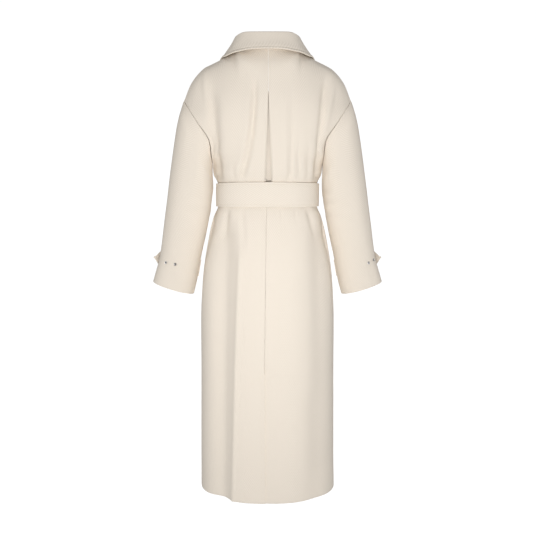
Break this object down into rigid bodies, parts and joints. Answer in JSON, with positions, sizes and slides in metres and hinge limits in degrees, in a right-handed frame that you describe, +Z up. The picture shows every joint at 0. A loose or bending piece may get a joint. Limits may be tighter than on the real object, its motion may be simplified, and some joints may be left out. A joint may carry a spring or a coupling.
{
  "type": "trench coat",
  "caption": "Long belted trench coat in cream wool with a wide collar, lapels, an inverted back pleat and back vent, filled out as when worn.",
  "frame": {"origin": "where the coat is held: between the shoulders at the base of the neck, on the centre plane", "axes": "+Z up, +X to the wearer's left, -Y to the front"},
  "size_m": [0.6452, 0.3082, 1.2785],
  "materials": {
    "coat_cloth": "napped herringbone wool",
    "eyelet_metal": "polished"
  },
  "bodies": {
    "root": {"back_left": "coat_cloth", "back_right": "coat_cloth", "pleat_underlay": "coat_cloth", "front_left": "coat_cloth", "front_right": "coat_cloth", "lapel_left": "coat_cloth", "lapel_right": "coat_cloth", "collar": "coat_cloth", "sleeve_left": "coat_cloth", "sleeve_right": "coat_cloth", "belt": "coat_cloth", "belt_end": "coat_cloth", "belt_buckle": "coat_cloth", "cuff_tab_left": "coat_cloth", "cuff_tab_right": "coat_cloth", "eyelet_left_1": "eyelet_metal", "eyelet_left_2": "eyelet_metal", "eyelet_right_1": "eyelet_metal", "eyelet_right_2": "eyelet_metal"}
  },
  "joints": []
}
